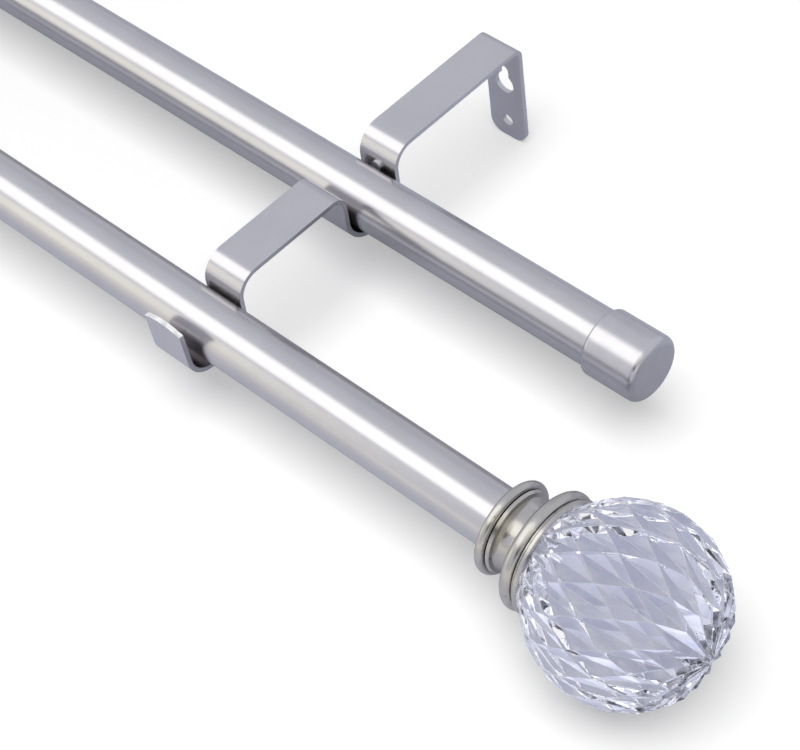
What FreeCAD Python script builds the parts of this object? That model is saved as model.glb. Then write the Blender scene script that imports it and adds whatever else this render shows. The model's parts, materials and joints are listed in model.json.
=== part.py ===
"""Double telescoping curtain rod with wall brackets, crystal ball finials and rear end caps.

Millimetres. +X runs along the rods towards the right-hand finial, +Y goes into the wall and +Z is up.
The origin is on the wall plane, at the centre of the right bracket's lower screw hole.
"""
import FreeCAD, Part
import math
import os

# Tubes
TUBE_OD = 19.0
TUBE_WALL = 0.8
TELESCOPE_GAP = 0.7
OUTER_LENGTH = 711.0
INNER_LENGTH = 686.0
REST_EXTENSION = 160.0

# Where the rods and brackets stand
REAR_ROD_TO_WALL = 71.7
ROD_SPACING = 68.3
ROD_ABOVE_SCREW = 22.5
FRONT_OVERHANG = 123.6
REAR_OVERHANG = 101.0
LEFT_BRACKET_INSET = 124.0

# Bracket strip: thickness, width and inside bend radii
STRIP_WIDTH = 15.3
STRIP_THICKNESS = 1.6
ARM_ABOVE_ROD = 3.7
CRADLE_PLAY = 2.5
CRADLE_EASE = 0.2
ARM_BEND = 6.8
LEG_BEND = 3.9
WALL_BEND = 1.9
LIP_BEND = 7.7
LIP_ABOVE_ROD = 2.3
LIP_LEAN = 3.5
LIP_CROWN = 1.4

# Wall plate
PLATE_TAIL = 7.3
PLATE_CORNER = 5.0
SCREW_HOLE_D = 4.4
KEYHOLE_ABOVE_SCREW = 16.8
KEYHOLE_HEAD_D = 7.8
KEYHOLE_SLOT_WIDTH = 4.2
KEYHOLE_SLOT_RISE = 5.8

# Lock screw through the rear upright
LOCK_SCREW_D = 4.0
LOCK_SCREW_ABOVE_ROD = 4.0
LOCK_SCREW_HEAD_D = 7.0
LOCK_SCREW_HEAD_DEPTH = 2.4
LOCK_SCREW_STANDOFF = 1.0
LOCK_SCREW_SLOT = 1.0
LOCK_SCREW_CHAMFER = 0.6

# Turned collar: radii of the bead, band and waist are heights over the tube, those of the ring and the
# flange are heights over the ball's neck
COLLAR_SOCKET = 4.6
BEAD_WIDTH = 3.2
BEAD_HEIGHT = 5.5
GROOVE_WIDTH = 0.3
GROOVE_HEIGHT = 3.4
BAND_WIDTH = 0.9
BAND_HEIGHT = 3.9
BAND_TAPER = 0.5
STEP_HEIGHT = 2.2
STEP_WIDTH = 0.3
WAIST_WIDTH = 7.6
WAIST_HEIGHT = 0.4
FLARE_HEIGHT = 4.8
RING_WIDTH = 4.4
RING_HEIGHT = 0.6
RECESS_WIDTH = 0.5
RECESS_DEPTH = 0.9
FLANGE_WIDTH = 1.8
FLANGE_HEIGHT = 0.1
FLANGE_EDGE = 0.4

# Diamond-cut ball: rows of facet corners counted by angle from the tip, and the ground neck behind the last row
BALL_R = 29.4
BALL_SIDES = 18
BALL_FIRST_ROW = 33.4
BALL_ROW_STEP = 18.0
BALL_ROWS = 7
BALL_TIP = 29.1
BALL_TURN = 127.2
BALL_NECK = 0.75

# Stud and plugs that hold the finials
STUD_D = 6.0
STUD_CHAMFER = 0.6
STUD_IN_BALL = 8.0
STUD_IN_PLUG = 14.0
PLUG_FLANGE = 1.5
PLUG_DEPTH = 18.0
PLUG_LEAD = 1.5
PLUG_LEAD_IN = 0.6

# Rear end cap
CAP_LENGTH = 19.5
CAP_WALL = 1.45
CAP_FLOOR = 2.0
CAP_MOUTH_EDGE = 0.2
CAP_MOUTH_ROLL = 1.25
CAP_EDGE = 2.5
SLEEVE_FLANGE = 1.5
SLEEVE_BORE_D = 8.0

# Bushes between the tubes
MOUTH_BUSH_LENGTH = 15.0
MOUTH_BUSH_FLANGE = 1.5
MOUTH_BUSH_EDGE = 0.4
SLIDE_BUSH_LENGTH = 12.0
SLIDE_BUSH_HEAD = 4.0
SLIDE_BUSH_WALL = 1.6

# Clearances: the lock screw holds the rear rod further off its upright
FRONT_ROD_TO_UPRIGHT = 0.1
REAR_ROD_TO_UPRIGHT = 0.8
ROD_TO_CRADLE = 0.05
SCREW_TO_ROD = 0.05
RUNNING = 0.05
PUSH_FIT = 0.05
THREAD_FIT = 0.05
SEAT_FIT = 0.1

X_AXIS = FreeCAD.Vector(1, 0, 0)
Y_AXIS = FreeCAD.Vector(0, 1, 0)
SAME = 1e-6
DIAGONAL = math.sqrt(0.5)

TUBE_R = TUBE_OD / 2
TUBE_BORE_R = TUBE_R - TUBE_WALL
INNER_R = TUBE_BORE_R - TELESCOPE_GAP
INNER_BORE_R = INNER_R - TUBE_WALL
STUD_R = STUD_D / 2
STUD_HOLE_R = STUD_R + THREAD_FIT
REAR_Y = -REAR_ROD_TO_WALL
FRONT_Y = REAR_Y - ROD_SPACING
ROD_Z = ROD_ABOVE_SCREW
FRONT_RIGHT_END = FRONT_OVERHANG + COLLAR_SOCKET - SEAT_FIT - PLUG_FLANGE
FRONT_LEFT_END = FRONT_RIGHT_END - OUTER_LENGTH
REAR_RIGHT_END = REAR_OVERHANG + CAP_LENGTH - CAP_FLOOR - SEAT_FIT
REAR_LEFT_END = REAR_RIGHT_END - OUTER_LENGTH
BALL_NECK_ANGLE = math.radians(BALL_FIRST_ROW + (BALL_ROWS - 1) * BALL_ROW_STEP)
BALL_NECK_R = BALL_R * math.sin(BALL_NECK_ANGLE)


def vec(x, y, z):
    return FreeCAD.Vector(x, y, z)


def line(start, end):
    return Part.LineSegment(start, end).toShape()


def arc(start, middle, end):
    return Part.Arc(start, middle, end).toShape()


def turned(outline, y):
    """Solid of revolution about the rod axis at y.

    The outline is a closed list of (x, radius). A third item, "via", marks the middle of an arc.
    """
    def place(point):
        return vec(point[0], y, ROD_Z + point[1])

    edges = []
    loop = outline + [outline[0]]
    i = 0
    while i < len(loop) - 1:
        if len(loop[i + 1]) == 3:
            edges.append(arc(place(loop[i]), place(loop[i + 1]), place(loop[i + 2])))
            i += 2
        else:
            edges.append(line(place(loop[i]), place(loop[i + 1])))
            i += 1
    return Part.Face(Part.Wire(edges)).revolve(vec(0, y, ROD_Z), X_AXIS, 360)


def bead(x_from, width, top, foot_before, foot_after):
    """Half-round bead of a turned outline, from one foot's radius to the other's."""
    half = width / 2
    middle = x_from + half
    low = top - half
    before = middle - math.sqrt(half ** 2 - max(foot_before - low, 0) ** 2)
    after = middle + math.sqrt(half ** 2 - max(foot_after - low, 0) ** 2)
    outline = [(before, max(foot_before, low)), (middle, top, "via"), (after, max(foot_after, low))]
    if foot_before < low:
        outline.insert(0, (before, foot_before))
    if foot_after < low:
        outline.append((after, foot_after))
    return outline


def mirrored(shape, x_plane):
    """The same piece facing the other way along the rod."""
    return shape.mirror(vec(x_plane, 0, 0), X_AXIS)


def pipe(x_from, length, y, outer_r, inner_r):
    outside = Part.makeCylinder(outer_r, length, vec(x_from, y, ROD_Z), X_AXIS)
    return outside.cut(Part.makeCylinder(inner_r, length, vec(x_from, y, ROD_Z), X_AXIS))


def bracket_corners():
    """Corners of the strip's centre line as (y, z, bend radius), from the plate's foot to the lip's tip."""
    half = STRIP_THICKNESS / 2
    cradle_bend = TUBE_R + CRADLE_EASE + half
    arm_z = ROD_Z + TUBE_R + ARM_ABOVE_ROD - half
    bottom_z = ROD_Z - TUBE_R - ROD_TO_CRADLE - half
    rear_upright = REAR_Y + TUBE_R + REAR_ROD_TO_UPRIGHT + half
    front_upright = FRONT_Y + TUBE_R + FRONT_ROD_TO_UPRIGHT + half
    across = TUBE_OD + CRADLE_PLAY + 2 * half
    lip_z = ROD_Z + TUBE_R + LIP_ABOVE_ROD
    lip_y = front_upright - across - math.tan(math.radians(LIP_LEAN)) * (lip_z - bottom_z)
    return [
        (-half, -PLATE_TAIL, 0),
        (-half, arm_z, WALL_BEND + half),
        (rear_upright, arm_z, ARM_BEND + half),
        (rear_upright, bottom_z, cradle_bend),
        (rear_upright - across, bottom_z, cradle_bend),
        (rear_upright - across, arm_z, LEG_BEND + half),
        (front_upright, arm_z, ARM_BEND + half),
        (front_upright, bottom_z, cradle_bend),
        (front_upright - across, bottom_z, LIP_BEND + half),
        (lip_y, lip_z, 0),
    ]


def strip_side(corners, offset):
    """Edges of one face of the strip, offset from its centre line, with the points they start and end at."""
    points = [vec(0, y, z) for y, z, _ in corners]
    edges = []
    first = None
    at = points[0]
    for i in range(1, len(points)):
        before = (points[i] - points[i - 1]).normalize()
        side = X_AXIS.cross(before) * offset
        run_end = points[i]
        if i < len(points) - 1:
            after = (points[i + 1] - points[i]).normalize()
            turn = math.copysign(1, X_AXIS.dot(before.cross(after)))
            swing = before.getAngle(after)
            tangent = corners[i][2] * math.tan(swing / 2)
            run_end = points[i] - before * tangent
        if first is None:
            first = at + side
        if at.distanceToPoint(run_end) > SAME:
            edges.append(line(at + side, run_end + side))
        if i == len(points) - 1:
            break
        centre = run_end + X_AXIS.cross(before) * (turn * corners[i][2])
        radius = corners[i][2] - turn * offset
        middle = centre + (points[i] - centre).normalize() * radius
        at = points[i] + after * tangent
        edges.append(arc(run_end + side, middle, at + X_AXIS.cross(after) * offset))
    return edges, first, run_end + side


def lip_trim(x):
    """What is cut from above the lip to leave its crowned end."""
    tip_y = bracket_corners()[-1][0]
    top = ROD_Z + TUBE_R + LIP_ABOVE_ROD
    half = STRIP_WIDTH / 2
    reach = 4 * STRIP_THICKNESS
    y = tip_y - reach / 2
    left = vec(x - half, y, top - LIP_CROWN)
    right = vec(x + half, y, top - LIP_CROWN)
    aside = vec(STRIP_WIDTH, 0, 0)
    up = vec(0, 0, STRIP_WIDTH)
    edges = [
        arc(left, vec(x, y, top), right),
        line(right, right + aside),
        line(right + aside, right + aside + up),
        line(right + aside + up, left - aside + up),
        line(left - aside + up, left - aside),
        line(left - aside, left),
    ]
    return Part.Face(Part.Wire(edges)).extrude(Y_AXIS * reach)


def drill(diameter, x, y, z, depth):
    """Round hole into the wall's direction, starting in front of the face at y."""
    return Part.makeCylinder(diameter / 2, depth, vec(x, y, z), Y_AXIS)


def plate_holes(x):
    """Lower screw hole and keyhole of the wall plate."""
    front = -2 * STRIP_THICKNESS
    depth = 3 * STRIP_THICKNESS
    half = KEYHOLE_SLOT_WIDTH / 2
    slot_end = KEYHOLE_ABOVE_SCREW + KEYHOLE_SLOT_RISE
    return [
        drill(SCREW_HOLE_D, x, front, 0, depth),
        drill(KEYHOLE_HEAD_D, x, front, KEYHOLE_ABOVE_SCREW, depth),
        drill(KEYHOLE_SLOT_WIDTH, x, front, slot_end, depth),
        Part.makeBox(2 * half, depth, KEYHOLE_SLOT_RISE, vec(x - half, front, KEYHOLE_ABOVE_SCREW)),
    ]


def bracket(x):
    """One strip folded into wall plate, arm, rear cradle, arm, front cradle and lip."""
    corners = bracket_corners()
    wall_side, wall_start, wall_end = strip_side(corners, -STRIP_THICKNESS / 2)
    room_side, room_start, room_end = strip_side(corners, STRIP_THICKNESS / 2)
    edges = wall_side + [line(wall_end, room_end)] + room_side + [line(room_start, wall_start)]
    strip = Part.Face(Part.Wire(Part.__sortEdges__(edges))).extrude(X_AXIS * STRIP_WIDTH)
    strip.translate(vec(x - STRIP_WIDTH / 2, 0, 0))
    foot_corners = [
        edge for edge in strip.Edges
        if abs(edge.Length - STRIP_THICKNESS) < SAME and abs(edge.CenterOfMass.z + PLATE_TAIL) < SAME
    ]
    strip = strip.makeFillet(PLATE_CORNER, foot_corners)
    lock_y = REAR_Y + TUBE_R
    lock_hole = drill(LOCK_SCREW_D + 2 * THREAD_FIT, x, lock_y, ROD_Z + LOCK_SCREW_ABOVE_ROD,
                      REAR_ROD_TO_UPRIGHT + 2 * STRIP_THICKNESS)
    return strip.cut([lip_trim(x), lock_hole] + plate_holes(x))


def lock_screw(x):
    """Slotted screw from the wall side through the rear upright, with its tip against the tube.

    Its head stands off the upright, clear of the bend above it.
    """
    z = ROD_Z + LOCK_SCREW_ABOVE_ROD
    lowest = max(LOCK_SCREW_ABOVE_ROD - LOCK_SCREW_D / 2, 0)
    tip = REAR_Y + math.sqrt(TUBE_R ** 2 - lowest ** 2) + SCREW_TO_ROD
    seat = REAR_Y + TUBE_R + REAR_ROD_TO_UPRIGHT + STRIP_THICKNESS + LOCK_SCREW_STANDOFF
    back = seat + LOCK_SCREW_HEAD_DEPTH
    shank = drill(LOCK_SCREW_D, x, tip, z, seat - tip)
    head = drill(LOCK_SCREW_HEAD_D, x, seat, z, LOCK_SCREW_HEAD_DEPTH)
    head = head.makeChamfer(LOCK_SCREW_CHAMFER, [e for e in head.Edges if abs(e.CenterOfMass.y - back) < SAME])
    slot = Part.makeBox(LOCK_SCREW_HEAD_D, LOCK_SCREW_HEAD_DEPTH, LOCK_SCREW_SLOT,
                        vec(x - LOCK_SCREW_HEAD_D / 2, seat + LOCK_SCREW_HEAD_DEPTH / 2, z - LOCK_SCREW_SLOT / 2))
    return shank.fuse(head).removeSplitter().cut(slot)


def collar_length():
    return (BEAD_WIDTH + GROOVE_WIDTH + BAND_WIDTH + STEP_WIDTH + WAIST_WIDTH + RING_WIDTH
            + RECESS_WIDTH + FLANGE_WIDTH)


def finial_collar():
    """Right-hand turned collar: bead, band, concave waist, large ring and the flange under the ball."""
    start = FRONT_OVERHANG
    band = start + BEAD_WIDTH + GROOVE_WIDTH
    step = band + BAND_WIDTH
    waist = step + STEP_WIDTH
    ring = waist + WAIST_WIDTH
    flange = ring + RING_WIDTH + RECESS_WIDTH
    end = flange + FLANGE_WIDTH
    floor = start + COLLAR_SOCKET
    socket_r = TUBE_R + PUSH_FIT
    flange_r = BALL_NECK_R + FLANGE_HEIGHT
    ring_r = BALL_NECK_R + RING_HEIGHT
    recess_r = flange_r - RECESS_DEPTH
    groove_r = TUBE_R + GROOVE_HEIGHT
    outline = bead(start, BEAD_WIDTH, TUBE_R + BEAD_HEIGHT, socket_r, groove_r)
    outline += [
        (band, groove_r),
        (band, TUBE_R + BAND_HEIGHT),
        (step, TUBE_R + BAND_HEIGHT - BAND_TAPER),
        (waist, TUBE_R + STEP_HEIGHT),
        (waist + WAIST_WIDTH / 2, TUBE_R + WAIST_HEIGHT, "via"),
    ]
    outline += bead(ring, RING_WIDTH, ring_r, TUBE_R + FLARE_HEIGHT, recess_r)
    outline += [
        (flange, recess_r),
        (flange, flange_r - FLANGE_EDGE),
        (flange + FLANGE_EDGE, flange_r),
        (end - FLANGE_EDGE, flange_r),
        (end, flange_r - FLANGE_EDGE),
        (end, STUD_HOLE_R),
        (floor, STUD_HOLE_R),
        (floor, socket_r),
    ]
    return turned(outline, FRONT_Y)


def ball_rows(centre_x):
    """Rows of facet corners from tip to neck, each turned by half a facet against the one before."""
    rows = []
    for k in range(BALL_ROWS):
        polar = math.radians(BALL_FIRST_ROW + k * BALL_ROW_STEP)
        row_r = BALL_R * math.sin(polar)
        row = []
        for i in range(BALL_SIDES):
            turn = math.radians(BALL_TURN + 360 * (i + k / 2) / BALL_SIDES)
            row.append(vec(centre_x + BALL_R * math.cos(polar),
                           FRONT_Y + row_r * math.cos(turn), ROD_Z + row_r * math.sin(turn)))
        rows.append(row)
    return rows


def ball_facets(rows, tip):
    """Triangles of the cut: kites round the tip, rhombi folded along the meridian, and the last half row."""
    facets = []
    for i in range(BALL_SIDES):
        following = (i + 1) % BALL_SIDES
        facets.append((tip, rows[0][i], rows[1][i]))
        facets.append((tip, rows[1][i], rows[0][following]))
        for k in range(BALL_ROWS - 2):
            near = rows[k][following]
            far = rows[k + 2][i]
            facets.append((near, rows[k + 1][i], far))
            facets.append((near, far, rows[k + 1][following]))
        facets.append((rows[-2][following], rows[-1][i], rows[-1][following]))
    return facets


def finial_ball():
    """Right-hand crystal ball, with a short ground neck that is flat at its end and bored for the stud."""
    seat = FRONT_OVERHANG + collar_length()
    centre_x = seat + BALL_NECK - BALL_R * math.cos(BALL_NECK_ANGLE)
    rows = ball_rows(centre_x)
    tip = vec(centre_x + BALL_TIP, FRONT_Y, ROD_Z)
    faces = [Part.Face(Part.makePolygon([a, b, c, a])) for a, b, c in ball_facets(rows, tip)]
    last = rows[-1] + [rows[-1][0]]
    foot = [corner - X_AXIS * BALL_NECK for corner in last]
    for i in range(BALL_SIDES):
        faces.append(Part.Face(Part.makePolygon([last[i], last[i + 1], foot[i + 1], foot[i], last[i]])))
    faces.append(Part.Face(Part.makePolygon(foot)))
    solid = Part.makeSolid(Part.makeShell(faces))
    if solid.Volume < 0:
        solid.reverse()
    return solid.cut(Part.makeCylinder(STUD_HOLE_R, STUD_IN_BALL + SEAT_FIT, vec(seat, FRONT_Y, ROD_Z), X_AXIS))


def finial_stud():
    """Right-hand threaded stud from the plug, through the collar, into the ball."""
    x_from = FRONT_RIGHT_END - STUD_IN_PLUG
    x_to = FRONT_OVERHANG + collar_length() + STUD_IN_BALL
    stud = Part.makeCylinder(STUD_R, x_to - x_from, vec(x_from, FRONT_Y, ROD_Z), X_AXIS)
    rims = [e for e in stud.Edges if min(abs(e.CenterOfMass.x - x_from), abs(e.CenterOfMass.x - x_to)) < SAME]
    return stud.makeChamfer(STUD_CHAMFER, rims)


def plug_shank(end, bore_r, shank_r):
    """Outline of a plug's shank up to the tube's end, narrowed at its tip to lead in."""
    tip = end - PLUG_DEPTH
    return [(tip, bore_r), (tip, shank_r - PLUG_LEAD_IN), (tip + PLUG_LEAD, shank_r), (end, shank_r)]


def outer_tube_plug():
    """Plastic plug in the front outer tube's right end, with a flange against the end."""
    end = FRONT_RIGHT_END
    outline = plug_shank(end, STUD_HOLE_R, TUBE_BORE_R - PUSH_FIT)
    outline += [(end, TUBE_R), (end + PLUG_FLANGE, TUBE_R), (end + PLUG_FLANGE, STUD_HOLE_R)]
    return turned(outline, FRONT_Y)


def inner_tube_plug(end, y, bore_r, cover, flange):
    """Plastic plug for an inner tube's end at x = end, sleeved outside to the outer tube's diameter."""
    sleeve_r = INNER_R + PUSH_FIT
    outline = plug_shank(end, bore_r, INNER_BORE_R - PUSH_FIT)
    outline += [
        (end, sleeve_r),
        (end - cover, sleeve_r),
        (end - cover, TUBE_R),
        (end + flange, TUBE_R),
        (end + flange, bore_r),
    ]
    return turned(outline, y)


def rear_cap():
    """Right-hand drawn cup over the rear tube's end, with a rolled mouth and a rounded closed end."""
    start = REAR_OVERHANG
    end = start + CAP_LENGTH
    bore_r = TUBE_R + PUSH_FIT
    outer_r = bore_r + CAP_WALL
    mouth_r = bore_r + CAP_MOUTH_EDGE
    in_corner = 1 - DIAGONAL
    outline = [
        (start, bore_r),
        (start, mouth_r),
        (start + CAP_MOUTH_ROLL * in_corner, mouth_r + (outer_r - mouth_r) * DIAGONAL, "via"),
        (start + CAP_MOUTH_ROLL, outer_r),
        (end - CAP_EDGE, outer_r),
        (end - CAP_EDGE * in_corner, outer_r - CAP_EDGE * in_corner, "via"),
        (end, outer_r - CAP_EDGE),
        (end, 0),
        (end - CAP_FLOOR, 0),
        (end - CAP_FLOOR, bore_r),
    ]
    return turned(outline, REAR_Y)


def mouth_bush(end, y):
    """Plastic bush in the outer tube's left mouth, in which the inner tube slides."""
    run_r = INNER_R + RUNNING
    shank_r = TUBE_BORE_R - PUSH_FIT
    face = end - MOUTH_BUSH_FLANGE
    outline = [
        (face, run_r),
        (face, TUBE_R - MOUTH_BUSH_EDGE),
        (face + MOUTH_BUSH_EDGE, TUBE_R),
        (end, TUBE_R),
        (end, shank_r),
        (end + MOUTH_BUSH_LENGTH, shank_r),
        (end + MOUTH_BUSH_LENGTH, run_r),
    ]
    return turned(outline, y)


def slide_bush(end, y):
    """Plastic bush on the inner tube's hidden end, which runs inside the outer tube."""
    run_r = TUBE_BORE_R - RUNNING
    shank_r = INNER_BORE_R - PUSH_FIT
    bore_r = shank_r - SLIDE_BUSH_WALL
    outline = [
        (end - SLIDE_BUSH_LENGTH, bore_r),
        (end - SLIDE_BUSH_LENGTH, shank_r),
        (end, shank_r),
        (end, run_r),
        (end + SLIDE_BUSH_HEAD, run_r),
        (end + SLIDE_BUSH_HEAD, bore_r),
    ]
    return turned(outline, y)


def rod(name, y, outer_left, inner_left):
    """Outer and inner tube of one rod with their bushes."""
    inner_right = inner_left + INNER_LENGTH
    return {
        name + "_outer_tube": pipe(outer_left, OUTER_LENGTH, y, TUBE_R, TUBE_BORE_R),
        name + "_inner_tube": pipe(inner_left, INNER_LENGTH, y, INNER_R, INNER_BORE_R),
        name + "_mouth_bush": mouth_bush(outer_left, y),
        name + "_slide_bush": slide_bush(inner_right, y),
    }


def finials(inner_left):
    """Both finials: the left one is the right one mirrored onto the front inner tube's end."""
    middle = (FRONT_RIGHT_END + inner_left) / 2
    cover = COLLAR_SOCKET - PLUG_FLANGE - SEAT_FIT
    left_plug = inner_tube_plug(FRONT_RIGHT_END, FRONT_Y, STUD_HOLE_R, cover, PLUG_FLANGE)
    nodes = {"finial_plug_right": outer_tube_plug(), "finial_plug_left": mirrored(left_plug, middle)}
    pieces = {"finial_stud": finial_stud(), "finial_collar": finial_collar(), "finial_ball": finial_ball()}
    for name, shape in pieces.items():
        nodes[name + "_right"] = shape
        nodes[name + "_left"] = mirrored(shape, middle)
    return nodes


def rear_ends(inner_left):
    """Both end caps, and the sleeve that fits the left one to the rear inner tube."""
    sleeve_end = REAR_RIGHT_END - SLEEVE_FLANGE
    cover = CAP_LENGTH - CAP_FLOOR - SEAT_FIT - SLEEVE_FLANGE
    middle = (sleeve_end + inner_left) / 2
    sleeve = inner_tube_plug(sleeve_end, REAR_Y, SLEEVE_BORE_D / 2, cover, SLEEVE_FLANGE)
    cap = rear_cap()
    return {
        "rear_cap_right": cap,
        "rear_cap_left": mirrored(cap, middle),
        "rear_cap_sleeve_left": mirrored(sleeve, middle),
    }


def curtain_rod():
    """Every piece by its name."""
    front_inner_left = FRONT_LEFT_END - MOUTH_BUSH_FLANGE - REST_EXTENSION
    rear_inner_left = REAR_LEFT_END - MOUTH_BUSH_FLANGE - REST_EXTENSION
    left_bracket_x = FRONT_LEFT_END + LEFT_BRACKET_INSET
    pieces = {
        "bracket_right": bracket(0),
        "bracket_left": bracket(left_bracket_x),
        "lock_screw_right": lock_screw(0),
        "lock_screw_left": lock_screw(left_bracket_x),
    }
    pieces.update(rod("front", FRONT_Y, FRONT_LEFT_END, front_inner_left))
    pieces.update(rod("rear", REAR_Y, REAR_LEFT_END, rear_inner_left))
    pieces.update(finials(front_inner_left))
    pieces.update(rear_ends(rear_inner_left))
    return pieces


def main():
    os.makedirs("parts", exist_ok=True)
    for name, shape in curtain_rod().items():
        shape.exportStep("parts/" + name + ".step")
        box = shape.BoundBox
        print(f"{name:22s} solids {len(shape.Solids)} valid {shape.isValid()} volume {shape.Volume:9.1f}"
              f"  x {box.XMin:8.2f} {box.XMax:8.2f}  y {box.YMin:8.2f} {box.YMax:8.2f}"
              f"  z {box.ZMin:7.2f} {box.ZMax:7.2f}")


main()
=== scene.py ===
"""Looks of a double telescoping curtain rod with folded strip brackets and cut crystal finials.

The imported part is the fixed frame. The finishes, the broken edges of the folded strips, the rubbed edges and
the silvered seat of the crystal balls, and the studio are made here. Named lengths are millimetres, named
angles are degrees, and meshes are metres.
"""

import json
import logging
import math
from dataclasses import dataclass
from enum import Enum

import bpy
from mathutils import Matrix, Vector

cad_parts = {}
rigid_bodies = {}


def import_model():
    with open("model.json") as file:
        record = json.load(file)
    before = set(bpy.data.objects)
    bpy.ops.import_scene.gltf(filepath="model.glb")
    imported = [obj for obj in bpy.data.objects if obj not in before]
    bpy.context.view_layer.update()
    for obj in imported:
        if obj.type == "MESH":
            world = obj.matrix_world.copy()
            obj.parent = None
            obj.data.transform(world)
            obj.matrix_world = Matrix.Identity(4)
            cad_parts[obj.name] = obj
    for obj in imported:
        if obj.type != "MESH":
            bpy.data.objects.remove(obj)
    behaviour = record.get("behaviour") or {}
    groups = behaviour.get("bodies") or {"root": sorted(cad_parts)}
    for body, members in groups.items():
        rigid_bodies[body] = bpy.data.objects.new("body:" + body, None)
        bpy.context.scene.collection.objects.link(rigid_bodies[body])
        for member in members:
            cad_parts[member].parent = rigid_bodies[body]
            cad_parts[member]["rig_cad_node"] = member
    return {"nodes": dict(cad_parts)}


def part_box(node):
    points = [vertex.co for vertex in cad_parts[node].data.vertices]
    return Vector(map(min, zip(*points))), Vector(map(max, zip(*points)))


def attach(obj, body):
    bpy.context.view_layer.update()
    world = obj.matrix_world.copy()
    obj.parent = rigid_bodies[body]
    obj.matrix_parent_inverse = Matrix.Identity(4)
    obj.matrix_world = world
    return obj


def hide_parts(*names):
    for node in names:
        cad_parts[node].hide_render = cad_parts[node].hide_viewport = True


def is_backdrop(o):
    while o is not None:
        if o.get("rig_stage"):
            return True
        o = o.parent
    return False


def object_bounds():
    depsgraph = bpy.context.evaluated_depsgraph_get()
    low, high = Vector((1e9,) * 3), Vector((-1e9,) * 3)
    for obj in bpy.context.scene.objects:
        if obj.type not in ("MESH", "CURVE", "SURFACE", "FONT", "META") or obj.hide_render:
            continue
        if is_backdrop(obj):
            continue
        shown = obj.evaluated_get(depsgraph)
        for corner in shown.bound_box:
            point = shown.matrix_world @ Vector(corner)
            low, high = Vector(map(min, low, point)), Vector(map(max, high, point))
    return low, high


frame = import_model()

LOG = logging.getLogger("curtain_rod")
MM = 0.001

# Corners of a CAD node closer than this are one corner.
WELD_MM = 0.001

# The sRGB curve: a straight foot up to its knee, and a power above it.
SRGB_TOP = 255
SRGB_KNEE = 0.04045
SRGB_FOOT = 12.92
SRGB_OFFSET = 0.055
SRGB_POWER = 2.4

# Sockets of a Mix node for colours, by number, because its float and vector sockets have the same names.
SHARE, FIRST, SECOND, MIXED = 0, 6, 7, 2

Tree = bpy.types.NodeTree
Node = bpy.types.Node
Socket = bpy.types.NodeSocket
Colour = tuple[float, float, float, float]
Inputs = dict[str | int, object]
Grading = tuple[tuple[float, str], ...]


class Side(Enum):
    """The two ends of the rods."""

    RIGHT = "right"
    LEFT = "left"


class Fineness(Enum):
    """How many layers of finer noise a pattern has."""

    SMOOTH = 1.0
    SOFT = 2.0
    CRISP = 3.0


def linear(hex_code: str) -> Colour:
    """Turns an sRGB hex value into linear colour.

    Args:
        hex_code: a value such as "#D4D2D3".

    Returns:
        Red, green, blue and an alpha of 1.
    """
    channels = [int(hex_code[i:i + 2], 16) / SRGB_TOP for i in (1, 3, 5)]
    red, green, blue = (
        level / SRGB_FOOT if level <= SRGB_KNEE else ((level + SRGB_OFFSET) / (1 + SRGB_OFFSET)) ** SRGB_POWER
        for level in channels)
    return red, green, blue, 1.0


def add_node(tree: Tree, kind: str, inputs: Inputs | None = None, **settings: object) -> Node:
    """Adds one node with its settings and links.

    Args:
        tree: the material's, lamp's or world's node tree.
        kind: the node's type.
        inputs: sockets by name or number, each with a value or with the output socket that feeds it.
        settings: the node's own attributes.

    Returns:
        The new node.
    """
    node = tree.nodes.new(kind)
    for name, value in settings.items():
        setattr(node, name, value)
    for key, value in (inputs or {}).items():
        if isinstance(value, Socket):
            tree.links.new(value, node.inputs[key])
        else:
            node.inputs[key].default_value = value
    return node


def select_only(piece: bpy.types.Object) -> None:
    """Deselects everything else and makes the piece active.

    Args:
        piece: the object that the next operators act on.
    """
    bpy.ops.object.select_all(action="DESELECT")
    piece.select_set(True)
    bpy.context.view_layer.objects.active = piece


def apply_modifier(piece: bpy.types.Object, kind: str, **settings: object) -> None:
    """Adds a modifier to the piece and applies it.

    Args:
        piece: the mesh object.
        kind: the modifier's type.
        settings: the modifier's attributes.
    """
    modifier = piece.modifiers.new(kind.title(), kind)
    for name, value in settings.items():
        setattr(modifier, name, value)
    select_only(piece)
    bpy.ops.object.modifier_apply(modifier=modifier.name)


def joined_copy(node: str, name: str, flat_angle: float) -> bpy.types.Object:
    """Copies a node of the frame as one joined mesh, with its coplanar triangles dissolved.

    Args:
        node: the node's name.
        name: the new piece's name.
        flat_angle: faces that meet within this angle, in degrees, become one.

    Returns:
        The new piece, with the node's shape.
    """
    source = frame["nodes"][node]
    piece = bpy.data.objects.new(name, source.data.copy())
    bpy.context.scene.collection.objects.link(piece)
    select_only(piece)
    bpy.ops.mesh.customdata_custom_splitnormals_clear()
    bpy.ops.object.mode_set(mode="EDIT")
    bpy.ops.mesh.select_all(action="SELECT")
    bpy.ops.mesh.remove_doubles(threshold=WELD_MM * MM)
    bpy.ops.mesh.dissolve_limited(angle_limit=math.radians(flat_angle))
    bpy.ops.object.mode_set(mode="OBJECT")
    return piece


def paint(piece: bpy.types.Object, material: bpy.types.Material) -> None:
    """Puts the material into every slot of the piece.

    Args:
        piece: a mesh object.
        material: its finish.
    """
    if not piece.material_slots:
        piece.data.materials.append(material)
    for slot in piece.material_slots:
        slot.material = material


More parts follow.
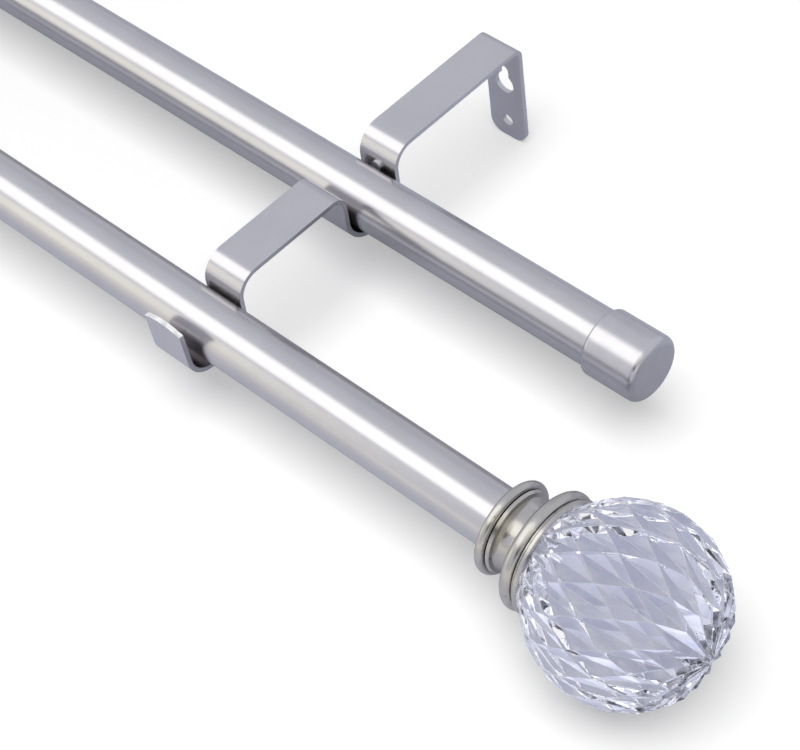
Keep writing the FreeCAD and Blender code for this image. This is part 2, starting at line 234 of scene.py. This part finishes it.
@dataclass(frozen=True)
class Finish:
    """A surface finish: its colour and gloss, and the fine pattern that each kind adds.

    Attributes:
        name: what the material is, and how its surface was made.
        colour: its sRGB hex value.
        roughness: from 0, polished, to 1, matt.
        metallic: 1 for metal, and otherwise 0.
    """

    name: str
    colour: str
    roughness: float
    metallic: float = 0.0

    def material(self) -> bpy.types.Material:
        """Builds the finish.

        Returns:
            The material.
        """
        material = bpy.data.materials.new(self.name)
        material.use_nodes = True
        tree = material.node_tree
        shader = tree.nodes["Principled BSDF"]
        shader.inputs["Base Color"].default_value = linear(self.colour)
        shader.inputs["Roughness"].default_value = self.roughness
        shader.inputs["Metallic"].default_value = self.metallic
        place = add_node(tree, "ShaderNodeTexCoord").outputs["Object"]
        self.pattern(tree, shader, place)
        return material

    def pattern(self, tree: Tree, shader: Node, place: Socket) -> None:
        """Adds what is fine and uneven in the finish.

        Args:
            tree: the material's nodes.
            shader: its Principled BSDF.
            place: the object coordinates.
        """


@dataclass(frozen=True)
class GrainedMetal(Finish):
    """Metal with a pearly grain, faint lines and a light clouding, such as satin nickel plate on drawn steel.

    That plate is bright nickel over bead-dulled steel, which gives a broad soft highlight. The grain and the
    draw lines are drawn five to eight times as coarse as the real ones, which would not show.

    Attributes:
        grain_mm: size of the grain.
        grain_depth_mm: height of the grain.
        line_spacing_mm: distance between the lines.
        line_length_mm: length of the lines, along the rods.
        line_gloss: how far the lines move the roughness to either side.
        line_span: levels of noise, from the smoothest line to the roughest.
        cloud_mm: size of the clouds.
        cloud_span: levels of noise, from the brightest place to the dullest.
        clouding: share of the light that the dullest place loses.
    """

    metallic: float = 1.0
    grain_mm: float = 0.45
    grain_depth_mm: float = 0.0006
    line_spacing_mm: float = 0.8
    line_length_mm: float = 60.0
    line_gloss: float = 0.012
    line_span: tuple[float, float] = (0.3, 0.7)
    cloud_mm: float = 14.0
    cloud_span: tuple[float, float] = (0.35, 0.65)
    clouding: float = 0.04

    def pattern(self, tree: Tree, shader: Node, place: Socket) -> None:
        """Adds the grain, the lines and the clouding.

        Args:
            tree: the material's nodes.
            shader: its Principled BSDF.
            place: the object coordinates.
        """
        stretch = Vector((1 / self.line_length_mm, 1 / self.line_spacing_mm, 1 / self.line_spacing_mm)) / MM
        along = add_node(tree, "ShaderNodeMapping", {"Vector": place, "Scale": stretch}).outputs["Vector"]
        lines = add_node(tree, "ShaderNodeTexNoise", {
            "Vector": along, "Scale": 1.0, "Detail": Fineness.SOFT.value}).outputs["Fac"]
        gloss = add_node(tree, "ShaderNodeMapRange", {
            "Value": lines, "From Min": self.line_span[0], "From Max": self.line_span[1],
            "To Min": self.roughness - self.line_gloss, "To Max": self.roughness + self.line_gloss})
        tree.links.new(gloss.outputs["Result"], shader.inputs["Roughness"])
        cloud = add_node(tree, "ShaderNodeTexNoise", {
            "Vector": place, "Scale": 1 / (self.cloud_mm * MM), "Detail": Fineness.SOFT.value}).outputs["Fac"]
        share = add_node(tree, "ShaderNodeMapRange", {
            "Value": cloud, "From Min": self.cloud_span[0], "From Max": self.cloud_span[1]}).outputs["Result"]
        bright = linear(self.colour)
        dull = tuple(channel * (1 - self.clouding) for channel in bright[:3]) + (1.0,)
        tone = add_node(tree, "ShaderNodeMix", {SHARE: share, FIRST: bright, SECOND: dull}, data_type="RGBA")
        tree.links.new(tone.outputs[MIXED], shader.inputs["Base Color"])
        grain = add_node(tree, "ShaderNodeTexNoise", {
            "Vector": place, "Scale": 1 / (self.grain_mm * MM),
            "Detail": Fineness.CRISP.value}).outputs["Fac"]
        bump = add_node(tree, "ShaderNodeBump", {
            "Strength": 1.0, "Distance": self.grain_depth_mm * MM, "Height": grain})
        tree.links.new(bump.outputs["Normal"], shader.inputs["Normal"])


@dataclass(frozen=True)
class CastNickel(GrainedMetal):
    """Bright nickel on a turned zinc casting, with painted shade in its grooves and dark pits.

    The grooves are darkened where the casting's own shape shuts the light out, which is painted shade. The
    pits are sparse specks, drawn three times as coarse as the real ones, which would not show.

    Attributes:
        pit_and_shade_tone: the sRGB hex value of the pits and of the painted shade in the grooves.
        recess_mm: how near a wall has to be to shut the light out.
        recess_samples: how many rays look for such a wall.
        groove_span: open light plus smear, from clean plate to full painted shade.
        smear_mm: size of the smears that break up the painted shade's edge.
        pit_mm: size of the pits.
        pit_span: noise plus smear, from clean plate to the middle of a pit.
    """

    pit_and_shade_tone: str = "#2E2C2B"
    recess_mm: float = 1.6
    recess_samples: int = 8
    groove_span: tuple[float, float] = (1.1, 0.7)
    smear_mm: float = 1.8
    pit_mm: float = 0.9
    pit_span: tuple[float, float] = (1.39, 1.43)

    def pattern(self, tree: Tree, shader: Node, place: Socket) -> None:
        """Adds the plate's own pattern, the painted shade in the grooves and the pits.

        Args:
            tree: the material's nodes.
            shader: its Principled BSDF.
            place: the object coordinates.
        """
        super().pattern(tree, shader, place)
        plate = shader.inputs["Base Color"].links[0].from_socket
        # Painted shade: the grooves darken where the casting's own shape shuts the light out.
        openness = add_node(tree, "ShaderNodeAmbientOcclusion", {"Distance": self.recess_mm * MM},
                            samples=self.recess_samples, only_local=True).outputs["AO"]
        smear = add_node(tree, "ShaderNodeTexNoise", {
            "Vector": place, "Scale": 1 / (self.smear_mm * MM),
            "Detail": Fineness.CRISP.value}).outputs["Fac"]
        depth = add_node(tree, "ShaderNodeMath", {0: openness, 1: smear}, operation="ADD").outputs["Value"]
        groove = add_node(tree, "ShaderNodeMapRange", {
            "Value": depth, "From Min": self.groove_span[0],
            "From Max": self.groove_span[1]}).outputs["Result"]
        speck = add_node(tree, "ShaderNodeTexNoise", {
            "Vector": place, "Scale": 1 / (self.pit_mm * MM), "Detail": Fineness.SMOOTH.value}).outputs["Fac"]
        sparse = add_node(tree, "ShaderNodeMath", {0: speck, 1: smear}, operation="ADD").outputs["Value"]
        pit = add_node(tree, "ShaderNodeMapRange", {
            "Value": sparse, "From Min": self.pit_span[0], "From Max": self.pit_span[1]}).outputs["Result"]
        dark = add_node(tree, "ShaderNodeMath", {0: groove, 1: pit}, operation="MAXIMUM").outputs["Value"]
        tone = add_node(tree, "ShaderNodeMix", {SHARE: dark, FIRST: plate, SECOND: linear(self.pit_and_shade_tone)},
                        data_type="RGBA")
        tree.links.new(tone.outputs[MIXED], shader.inputs["Base Color"])


@dataclass(frozen=True)
class Crystal(Finish):
    """Cut crystal glass: polished, with a cold lilac body and slightly wavy facets.

    Attributes:
        ior: index of refraction, that of a light crystal glass.
        frosting: share of the light that the surface scatters.
        wave_mm: size of the facets' waves.
        wave_depth_mm: height of the waves.
    """

    ior: float = 1.53
    frosting: float = 0.0
    wave_mm: float = 6.0
    wave_depth_mm: float = 0.035

    def pattern(self, tree: Tree, shader: Node, place: Socket) -> None:
        """Adds the glass body and the waviness of its polished facets.

        Args:
            tree: the material's nodes.
            shader: its Principled BSDF.
            place: the object coordinates.
        """
        shader.inputs["Transmission Weight"].default_value = 1.0 - self.frosting
        shader.inputs["IOR"].default_value = self.ior
        wave = add_node(tree, "ShaderNodeTexNoise", {
            "Vector": place, "Scale": 1 / (self.wave_mm * MM),
            "Detail": Fineness.SMOOTH.value}).outputs["Fac"]
        bump = add_node(tree, "ShaderNodeBump", {
            "Strength": 1.0, "Distance": self.wave_depth_mm * MM, "Height": wave})
        tree.links.new(bump.outputs["Normal"], shader.inputs["Normal"])


@dataclass(frozen=True)
class MouldedPlastic(Finish):
    """Moulded nylon or acetal: a plain body with a fine spark-eroded grain.

    Attributes:
        grain_mm: size of the grain.
        grain_depth_mm: height of the grain.
    """

    grain_mm: float = 0.25
    grain_depth_mm: float = 0.006

    def pattern(self, tree: Tree, shader: Node, place: Socket) -> None:
        """Adds the mould's grain.

        Args:
            tree: the material's nodes.
            shader: its Principled BSDF.
            place: the object coordinates.
        """
        grain = add_node(tree, "ShaderNodeTexNoise", {
            "Vector": place, "Scale": 1 / (self.grain_mm * MM), "Detail": Fineness.SOFT.value}).outputs["Fac"]
        bump = add_node(tree, "ShaderNodeBump", {
            "Strength": 1.0, "Distance": self.grain_depth_mm * MM, "Height": grain})
        tree.links.new(bump.outputs["Normal"], shader.inputs["Normal"])


# Nickel plate on drawn and dulled steel tube: a broad soft highlight, with a pearly grain and faint lines
# lengthways.
TUBE_NICKEL = GrainedMetal("satin_nickel_drawn_tube", "#D5D3D4", 0.25)

# The same plate on rolled strip, which has no draw lines: the flats look even and the folds catch the light.
STRIP_NICKEL = GrainedMetal("satin_nickel_folded_strip", "#D2D0D2", 0.24, line_length_mm=0.8)

# The same plate on a pressed cup: a little duller than the tube, and smooth.
CAP_NICKEL = GrainedMetal("satin_nickel_drawn_cup", "#D3D1D3", 0.27, grain_depth_mm=0.0001, line_gloss=0.004,
                          line_length_mm=6.0, cloud_mm=5.0)

# Steel bared by the shears at the lip's end: pale, dull and blotchy beside the plate. Its pure white colour is
# partly painted highlight. The torn face scatters light all ways, so it has no metallic shine.
SHEARED_STEEL_AND_HIGHLIGHT = GrainedMetal("bare_sheared_end_and_highlight", "#FFFFFF", 0.5, metallic=0.0, line_length_mm=0.3,
                             cloud_mm=2.4, clouding=0.35)

# Bright nickel on turned zinc: warmer and sharper than the tubes, with painted shade in the grooves that draws
# each ring.
CAST_NICKEL = CastNickel("nickel_turned_zinc", "#C8C5BF", 0.25, grain_mm=0.8, grain_depth_mm=0.001,
                         line_spacing_mm=0.4, line_length_mm=0.3, cloud_mm=3.0, clouding=0.08)

# Bright zinc plate on screws and studs: a cold, clear shine.
ZINC_PLATE = GrainedMetal("bright_zinc_plate", "#D8DADC", 0.2, line_length_mm=0.5)

# Cut and polished crystal: flat clear facets, each showing another piece of what lies behind, in cold lilac.
CUT_CRYSTAL = Crystal("cut_crystal_glass", "#F5F5FD", 0.0)

# The crystal's edges, rubbed by the polishing wheel: thin pale lines between the facets.
RUBBED_ARRIS = Crystal("rubbed_crystal_arris", "#FFFFFF", 0.2, frosting=0.15)

# Crinkled silver foil under the crystal's foot: glints round the neck, which would otherwise show the dark
# socket.
SEAT_FOIL = GrainedMetal("silver_foil_under_crystal", "#EDEDF3", 0.1, grain_mm=1.2, grain_depth_mm=0.02,
                         cloud_mm=5.0, clouding=0.93)

# Injection-moulded nylon with the mould's spark-eroded grain: a dull mid grey.
GREY_NYLON = MouldedPlastic("moulded_grey_nylon", "#6F7072", 0.5)

# Injection-moulded natural acetal: milky and half matt.
CLEAR_ACETAL = MouldedPlastic("moulded_natural_acetal", "#D9DADC", 0.4)


@dataclass
class Rods:
    """The four tubes and the plastic pieces that guide one in the other.

    Attributes:
        tubes: the tubes' nodes.
        guides: the bushes' nodes.
    """

    tubes: tuple[str, ...] = ("front_outer_tube", "rear_outer_tube", "front_inner_tube", "rear_inner_tube")
    guides: tuple[str, ...] = ("front_mouth_bush", "rear_mouth_bush", "front_slide_bush", "rear_slide_bush")

    def dress(self) -> None:
        """Gives the tubes their plate and the guides their plastic."""
        nickel = TUBE_NICKEL.material()
        acetal = CLEAR_ACETAL.material()
        for name in self.tubes:
            paint(frame["nodes"][name], nickel)
            LOG.info("dressed %s", name)
        for name in self.guides:
            paint(frame["nodes"][name], acetal)
            LOG.info("dressed %s", name)


@dataclass
class WallBrackets:
    """The two folded strips with their broken edges, and the screws that lock the rear rod.

    Attributes:
        flat_angle: triangles that meet within it are one flat face.
        edge_mm: how far the tumbled edges are broken.
        edge_steps: how many flats lie across a broken edge.
        edge_angle: edges sharper than this are broken.
        smooth_angle: faces that meet within it are shaded as one.
        strip_mm: the strip's thickness.
        lip_mm: how far the lip reaches back from the strip's front.
        upwards: the least z of a normal on the sheared end.
    """

    flat_angle: float = 0.4
    edge_mm: float = 0.22
    edge_steps: int = 2
    edge_angle: float = 50.0
    smooth_angle: float = 35.0
    strip_mm: float = 1.6
    lip_mm: float = 4.8
    upwards: float = 0.6

    def bare_end(self, strip: bpy.types.Object, steel: bpy.types.Material) -> None:
        """Bares the steel where the strip was sheared off at the top of its lip.

        Args:
            strip: the folded strip.
            steel: the sheared end's finish, whose white colour is partly painted highlight.
        """
        # Both strips reach as far forward.
        behind_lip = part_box("bracket_right")[0].y + self.lip_mm * MM
        lip_top = max(vertex.co.z for vertex in strip.data.vertices if vertex.co.y < behind_lip)
        below_end = lip_top - self.strip_mm * MM
        strip.data.materials.append(steel)
        for face in strip.data.polygons:
            on_end = face.center.y < behind_lip and face.center.z > below_end
            if on_end and face.normal.z > self.upwards:
                face.material_index = len(strip.data.materials) - 1

    def build(self) -> None:
        """Builds both strips and dresses the screws."""
        # The sheared end's finish: bare steel, made white partly as painted highlight.
        steel = SHEARED_STEEL_AND_HIGHLIGHT.material()
        nickel = STRIP_NICKEL.material()
        zinc = ZINC_PLATE.material()
        for side in Side:
            node = f"bracket_{side.value}"
            strip = joined_copy(node, f"{node}_strip", self.flat_angle)
            apply_modifier(strip, "BEVEL", width=self.edge_mm * MM, segments=self.edge_steps,
                           limit_method="ANGLE", angle_limit=math.radians(self.edge_angle),
                           use_clamp_overlap=True)
            bpy.ops.object.shade_smooth_by_angle(angle=math.radians(self.smooth_angle))
            apply_modifier(strip, "WEIGHTED_NORMAL", keep_sharp=True)
            paint(strip, nickel)
            self.bare_end(strip, steel)
            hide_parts(node)
            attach(strip, "fixed_rods")
            paint(frame["nodes"][f"lock_screw_{side.value}"], zinc)
            LOG.info("built %s", strip.name)


@dataclass
class Finials:
    """The turned collars, the cut balls and the studs that hold them.

    Attributes:
        flat_angle: triangles that meet within it are one facet.
        arris_mm: how far the facets' edges are rubbed down.
        arris_steps: how many flats lie across a rubbed edge.
        arris_angle: edges sharper than this are rubbed.
        foil_mm: how deep the silvered foot lies inside the solid's own.
    """

    flat_angle: float = 0.2
    arris_mm: float = 0.08
    arris_steps: int = 1
    arris_angle: float = 6.0
    foil_mm: float = 0.06

    def back_with_foil(self, ball: bpy.types.Object, side: Side, foil: bpy.types.Material) -> None:
        """Silvers the flat foot that sits on the collar, so that the crystal stays bright down to its seat.

        Args:
            ball: the cut ball.
            side: its end of the rod.
            foil: the silvered finish.
        """
        low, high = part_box(f"finial_ball_{side.value}")
        seat, inward = (low.x, 1) if side is Side.RIGHT else (high.x, -1)
        ball.data.materials.append(foil)
        for face in ball.data.polygons:
            if abs(face.center.x - seat) < self.foil_mm * MM:
                face.material_index = len(ball.data.materials) - 1
        for vertex in ball.data.vertices:
            if abs(vertex.co.x - seat) < self.foil_mm * MM:
                vertex.co.x += inward * self.foil_mm * MM

    def build(self) -> None:
        """Builds the balls and dresses the rest."""
        cast = CAST_NICKEL.material()
        crystal = CUT_CRYSTAL.material()
        arris = RUBBED_ARRIS.material()
        foil = SEAT_FOIL.material()
        zinc = ZINC_PLATE.material()
        nylon = GREY_NYLON.material()
        bodies = {Side.RIGHT: "fixed_rods", Side.LEFT: "front_extension"}
        for side in Side:
            node = f"finial_ball_{side.value}"
            ball = joined_copy(node, f"{node}_cut", self.flat_angle)
            paint(ball, crystal)
            ball.data.materials.append(arris)
            apply_modifier(ball, "BEVEL", width=self.arris_mm * MM, segments=self.arris_steps,
                           limit_method="ANGLE", angle_limit=math.radians(self.arris_angle),
                           use_clamp_overlap=True, material=len(ball.data.materials) - 1)
            bpy.ops.object.shade_flat()
            self.back_with_foil(ball, side, foil)
            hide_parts(node)
            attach(ball, bodies[side])
            paint(frame["nodes"][f"finial_collar_{side.value}"], cast)
            paint(frame["nodes"][f"finial_stud_{side.value}"], zinc)
            paint(frame["nodes"][f"finial_plug_{side.value}"], nylon)
            LOG.info("built %s", ball.name)


@dataclass
class RearEnds:
    """The rear rod's end caps, and the sleeve under the left one.

    Attributes:
        caps: the caps' nodes.
        sleeve: the sleeve's node.
    """

    caps: tuple[str, ...] = ("rear_cap_right", "rear_cap_left")
    sleeve: str = "rear_cap_sleeve_left"

    def dress(self) -> None:
        """Gives the caps their plate and the sleeve its plastic."""
        nickel = CAP_NICKEL.material()
        for name in self.caps:
            paint(frame["nodes"][name], nickel)
            LOG.info("dressed %s", name)
        paint(frame["nodes"][self.sleeve], GREY_NYLON.material())
        LOG.info("dressed %s", self.sleeve)


def in_part(tree: Tree) -> Socket:
    """Tells what shows in the part's metal and glass from what is seen or lit directly.

    Args:
        tree: the paper's or the world's nodes.

    Returns:
        1 for what is reflected or refracted, and otherwise 0.
    """
    path = add_node(tree, "ShaderNodeLightPath").outputs
    either = add_node(tree, "ShaderNodeMath", {0: path["Is Glossy Ray"], 1: path["Is Transmission Ray"]},
                      operation="MAXIMUM")
    return either.outputs["Value"]


def first_hand(tree: Tree) -> Socket:
    """Tells light that comes off metal and glass alone from light that a matt surface has scattered.

    Args:
        tree: the lamp's or the world's nodes.

    Returns:
        1 where no matt surface lies on the way, and otherwise 0.
    """
    scattered = add_node(tree, "ShaderNodeLightPath").outputs["Diffuse Depth"]
    fewer = add_node(tree, "ShaderNodeMath", {0: scattered, 1: 1.0}, operation="LESS_THAN")
    return fewer.outputs["Value"]


@dataclass(frozen=True)
class WhitePaper:
    """Matt white paper under the part, with other tones in metal and in glass than the camera sees.

    The tones are graded from the front of the set to the wall side; in metal they are darkest under and
    between the rods, which is painted shade. In glass the paper is dappled with painted pools of light, as the
    light that a cut ball gathers makes it.

    Attributes:
        name: what the material is.
        colour: its sRGB hex value, as the camera and the light meet it.
        shaded_in_metal: places along Y in millimetres, each with the tone that metal shows there, darkest at
            -80 as painted shade.
        in_glass: the same for glass.
        lift: share of its tone that the paper adds where it is seen, so that its lit part stays white.
        dapple: the tone of the painted pools of light.
        dapple_mm: size of the dapples.
        dapple_span: levels of noise, from the plain paper to the dapples.
        dapple_share: how strongly the dapples show.
    """

    name: str = "matt_white_paper"
    colour: str = "#EAEAEA"
    # In metal the paper is darkest around -80 mm, under and between the rods: painted shade.
    shaded_in_metal: Grading = ((-300.0, "#DAD8D6"), (-150.0, "#AEB0BE"), (-80.0, "#8E909A"), (-10.0, "#A9ABB9"))
    in_glass: Grading = ((-300.0, "#DEE0EA"), (-170.0, "#E4E8F6"), (-120.0, "#D4D9EF"), (-10.0, "#C5C9DA"))
    lift: float = 0.32
    # Painted pools of light, such as a cut ball gathers on the paper; they show only in glass.
    dapple: str = "#FFFFFF"
    dapple_mm: float = 12.0
    dapple_span: tuple[float, float] = (0.4, 0.65)
    dapple_share: float = 0.5

    def material(self) -> bpy.types.Material:
        """Builds the paper.

        Returns:
            The material.
        """
        material = bpy.data.materials.new(self.name)
        material.use_nodes = True
        tree = material.node_tree
        tree.nodes.clear()
        path = add_node(tree, "ShaderNodeLightPath").outputs
        place = add_node(tree, "ShaderNodeTexCoord").outputs["Object"]
        depth = add_node(tree, "ShaderNodeSeparateXYZ", {"Vector": place}).outputs["Y"]
        opaque = add_node(tree, "ShaderNodeMix", {
            SHARE: path["Is Glossy Ray"], FIRST: linear(self.colour),
            SECOND: self.graded(tree, depth, self.shaded_in_metal)}, data_type="RGBA").outputs[MIXED]
        # Painted pools of light, shown only through glass.
        light = add_node(tree, "ShaderNodeTexNoise", {
            "Vector": place, "Scale": 1 / (self.dapple_mm * MM),
            "Detail": Fineness.SMOOTH.value}).outputs["Fac"]
        share = add_node(tree, "ShaderNodeMapRange", {
            "Value": light, "From Min": self.dapple_span[0], "From Max": self.dapple_span[1],
            "To Max": self.dapple_share}).outputs["Result"]
        dappled = add_node(tree, "ShaderNodeMix", {
            SHARE: share, FIRST: self.graded(tree, depth, self.in_glass), SECOND: linear(self.dapple)},
            data_type="RGBA").outputs[MIXED]
        tone = add_node(tree, "ShaderNodeMix", {
            SHARE: path["Is Transmission Ray"], FIRST: opaque, SECOND: dappled},
            data_type="RGBA").outputs[MIXED]
        seen = add_node(tree, "ShaderNodeMath", {0: path["Is Camera Ray"], 1: in_part(tree)},
                        operation="MAXIMUM").outputs["Value"]
        lift = add_node(tree, "ShaderNodeMath", {0: seen, 1: self.lift},
                        operation="MULTIPLY").outputs["Value"]
        paper = add_node(tree, "ShaderNodeBsdfDiffuse", {"Color": tone}).outputs["BSDF"]
        glow = add_node(tree, "ShaderNodeEmission", {"Color": tone, "Strength": lift}).outputs["Emission"]
        both = add_node(tree, "ShaderNodeAddShader", {0: paper, 1: glow}).outputs["Shader"]
        add_node(tree, "ShaderNodeOutputMaterial", {"Surface": both})
        return material

    def graded(self, tree: Tree, depth: Socket, tones: Grading) -> Socket:
        """Grades the paper's tone from the front of the set to the wall side.

        Args:
            tree: the paper's nodes.
            depth: the place along Y, in metres.
            tones: places along Y in millimetres, each with its tone.

        Returns:
            The colour at each place.
        """
        (front, front_tone), *between, (back, back_tone) = tones
        share = add_node(tree, "ShaderNodeMapRange", {
            "Value": depth, "From Min": front * MM, "From Max": back * MM}).outputs["Result"]
        ramp = add_node(tree, "ShaderNodeValToRGB", {"Fac": share})
        elements = ramp.color_ramp.elements
        elements[0].color = linear(front_tone)
        elements[-1].color = linear(back_tone)
        for place, tone in between:
            elements.new((place - front) / (back - front)).color = linear(tone)
        return ramp.outputs["Color"]


@dataclass(frozen=True)
class Softbox:
    """A long lamp beside the rods, which shows in them as a straight highlight.

    Its angles are heights above the horizon, as the rods see it from the front of the set. One that isn't
    mirrored shows in neither metal nor glass, and one that doesn't fill lights nothing matt.

    Attributes:
        name: the lamp's name.
        low_angle: height of its lower edge.
        high_angle: height of its upper edge.
        radiance: how bright it shows, where 1 is white.
        colour: its sRGB hex value.
        distance_mm: how far it stands from the rods.
        length_mm: its length along the rods.
        along_mm: how far its middle lies to the right of the right bracket.
        mirrored: whether metal and glass show it.
        fills: whether it lights what is matt.
    """

    name: str
    low_angle: float
    high_angle: float
    radiance: float
    colour: str
    distance_mm: float = 1600.0
    length_mm: float = 5000.0
    along_mm: float = 0.0
    mirrored: bool = True
    fills: bool = True

    def build(self, aim: Vector) -> None:
        """Adds the lamp.

        Args:
            aim: the point that it faces, in metres.
        """
        middle = math.radians((self.low_angle + self.high_angle) / 2)
        half = math.radians((self.high_angle - self.low_angle) / 2)
        lamp = bpy.data.lights.new(self.name, "AREA")
        lamp.shape = "RECTANGLE"
        lamp.size = self.length_mm * MM
        lamp.size_y = 2 * self.distance_mm * MM * math.tan(half)
        lamp.energy = self.radiance * math.pi * lamp.size * lamp.size_y
        lamp.color = linear(self.colour)[:3]
        if not self.fills:
            lamp.use_nodes = True
            glow = lamp.node_tree.nodes["Emission"]
            lamp.node_tree.links.new(first_hand(lamp.node_tree), glow.inputs["Strength"])
        holder = bpy.data.objects.new(self.name, lamp)
        holder.visible_glossy = self.mirrored
        holder.visible_transmission = self.mirrored
        holder.visible_diffuse = self.fills
        bpy.context.scene.collection.objects.link(holder)
        across = Vector((0, math.sin(middle), math.cos(middle)))
        away = Vector((0, -math.cos(middle), math.sin(middle)))
        turn = Matrix((Vector((1, 0, 0)), across, away)).transposed()
        place = aim + away * self.distance_mm * MM + Vector((self.along_mm * MM, 0, 0))
        holder.matrix_world = Matrix.Translation(place) @ turn.to_4x4()


@dataclass(frozen=True)
class RoomPatch:
    """A part of the room that shows only in metal and glass, such as its unlit side.

    Attributes:
        towards: the direction of its middle.
        inner_angle: how far from the middle its full tone reaches.
        outer_angle: how far from the middle it has faded out.
        tone: its sRGB hex value.
    """

    towards: tuple[float, float, float]
    inner_angle: float
    outer_angle: float
    tone: str

    def over(self, tree: Tree, view: Socket, room: Colour | Socket) -> Socket:
        """Lays the patch over the rest of the room.

        Args:
            tree: the world's nodes.
            view: the direction that is looked in.
            room: the room's colour so far.

        Returns:
            The room's colour with the patch.
        """
        towards = Vector(self.towards).normalized()
        along = add_node(tree, "ShaderNodeVectorMath", {0: view, 1: towards},
                         operation="DOT_PRODUCT").outputs["Value"]
        share = add_node(tree, "ShaderNodeMapRange", {
            "Value": along, "From Min": math.cos(math.radians(self.outer_angle)),
            "From Max": math.cos(math.radians(self.inner_angle))}).outputs["Result"]
        mixed = add_node(tree, "ShaderNodeMix", {SHARE: share, FIRST: room, SECOND: linear(self.tone)},
                         data_type="RGBA")
        return mixed.outputs[MIXED]


@dataclass
class Studio:
    """Pale floor, soft lamps, grey-lilac surroundings and the camera.

    Attributes:
        camera_mm: the camera's place.
        camera_turn: its turns about X, Y and Z.
        lens_mm: its focal length.
        sensor_mm: the width of its sensor.
        floor_mm: the floor's side.
        floor_drop_mm: the gap under the part, which keeps its faces off the floor's.
        paper: the floor's finish.
        background: what the camera sees beyond the floor.
        room_fill: the light that the room throws on matt things.
        surround: the room as metal and glass show it.
        patches: parts of that room with tones of their own.
        lamps: the soft lamps.
    """

    camera_mm: tuple[float, float, float] = (410.27, -411.27, 553.11)
    camera_turn: tuple[float, float, float] = (40.226, 5.886, 43.006)
    lens_mm: float = 106.6
    sensor_mm: float = 36.0
    floor_mm: float = 9000.0
    floor_drop_mm: float = 0.1
    paper: WhitePaper = WhitePaper()
    background: str = "#FFFFFF"
    room_fill: str = "#9E9E9E"
    surround: str = "#D9DBE6"
    patches: tuple[RoomPatch, ...] = (
        RoomPatch((0.62, -0.50, 0.60), 18.0, 32.0, "#3C3C42"),
        RoomPatch((0.90, -0.42, 0.12), 8.0, 16.0, "#FFFFFF"),
        RoomPatch((-0.52, 0.80, 0.30), 10.0, 24.0, "#C8CAD5"),
    )
    lamps: tuple[Softbox, ...] = (
        Softbox("key_softbox", 43.0, 87.0, 0.96, "#FFFDF3", fills=False),
        Softbox("cream_card", 0.0, 33.0, 0.5, "#FFF8C9", length_mm=2000.0, along_mm=-1850.0, fills=False),
        Softbox("overhead_softbox", 59.0, 96.0, 3.75, "#FFFFFF", length_mm=1800.0, along_mm=450.0,
                mirrored=False),
    )

    def build(self, low: Vector, high: Vector) -> None:
        """Builds the studio round the part.

        Args:
            low: the part's lowest corner.
            high: the part's highest corner.
        """
        self.floor(low.z - self.floor_drop_mm * MM)
        self.world()
        aim = Vector((0, (low.y + high.y) / 2, 0))
        for lamp in self.lamps:
            lamp.build(aim)
        self.camera()

    def floor(self, height: float) -> None:
        """Lays the floor.

        Args:
            height: its z, in metres.
        """
        bpy.ops.object.select_all(action="DESELECT")
        bpy.ops.mesh.primitive_plane_add(size=self.floor_mm * MM, location=(0, 0, height))
        floor = bpy.context.object
        floor.name = "studio_floor"
        paint(floor, self.paper.material())
        floor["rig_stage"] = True

    def world(self) -> None:
        """Sets the surroundings: white to the camera, a grey fill for matt things, and a room in the part."""
        world = bpy.data.worlds.new("studio")
        bpy.context.scene.world = world
        world.use_nodes = True
        tree = world.node_tree
        tree.nodes.clear()
        path = add_node(tree, "ShaderNodeLightPath").outputs
        view = add_node(tree, "ShaderNodeTexCoord").outputs["Generated"]
        around = linear(self.surround)
        for patch in self.patches:
            around = patch.over(tree, view, around)
        shown = add_node(tree, "ShaderNodeMath", {0: in_part(tree), 1: first_hand(tree)},
                         operation="MULTIPLY").outputs["Value"]
        room = add_node(tree, "ShaderNodeMix", {SHARE: shown, FIRST: linear(self.room_fill), SECOND: around},
                        data_type="RGBA").outputs[MIXED]
        tone = add_node(tree, "ShaderNodeMix", {
            SHARE: path["Is Camera Ray"], FIRST: room, SECOND: linear(self.background)},
            data_type="RGBA").outputs[MIXED]
        sky = add_node(tree, "ShaderNodeBackground", {"Color": tone, "Strength": 1.0}).outputs["Background"]
        add_node(tree, "ShaderNodeOutputWorld", {"Surface": sky})

    def camera(self) -> None:
        """Sets up the camera at the photograph's viewing angle."""
        lens = bpy.data.cameras.new("camera")
        lens.sensor_width = self.sensor_mm
        lens.lens = self.lens_mm
        holder = bpy.data.objects.new("camera", lens)
        holder.location = Vector(self.camera_mm) * MM
        holder.rotation_euler = [math.radians(angle) for angle in self.camera_turn]
        bpy.context.scene.collection.objects.link(holder)
        bpy.context.scene.camera = holder


def let_light_through(turns: int = 16) -> None:
    """Lets light turn often enough to leave a cut crystal ball.

    Args:
        turns: how many reflections and refractions a path may have.
    """
    cycles = bpy.context.scene.cycles
    cycles.max_bounces = turns
    cycles.glossy_bounces = turns
    cycles.transmission_bounces = turns


def clear_startup() -> None:
    """Removes what Blender's own startup scene holds."""
    for thing in list(bpy.context.scene.objects):
        if "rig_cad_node" not in thing and not thing.name.startswith("body:"):
            bpy.data.objects.remove(thing)


def main() -> None:
    """Builds the looks round the frame and reports each piece."""
    logging.basicConfig(level=logging.INFO, format="%(message)s")
    clear_startup()
    cad_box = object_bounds()
    bpy.context.scene.view_settings.view_transform = "Standard"
    let_light_through()
    Rods().dress()
    WallBrackets().build()
    Finials().build()
    RearEnds().dress()
    Studio().build(*cad_box)


if __name__ == "__main__":
    main()
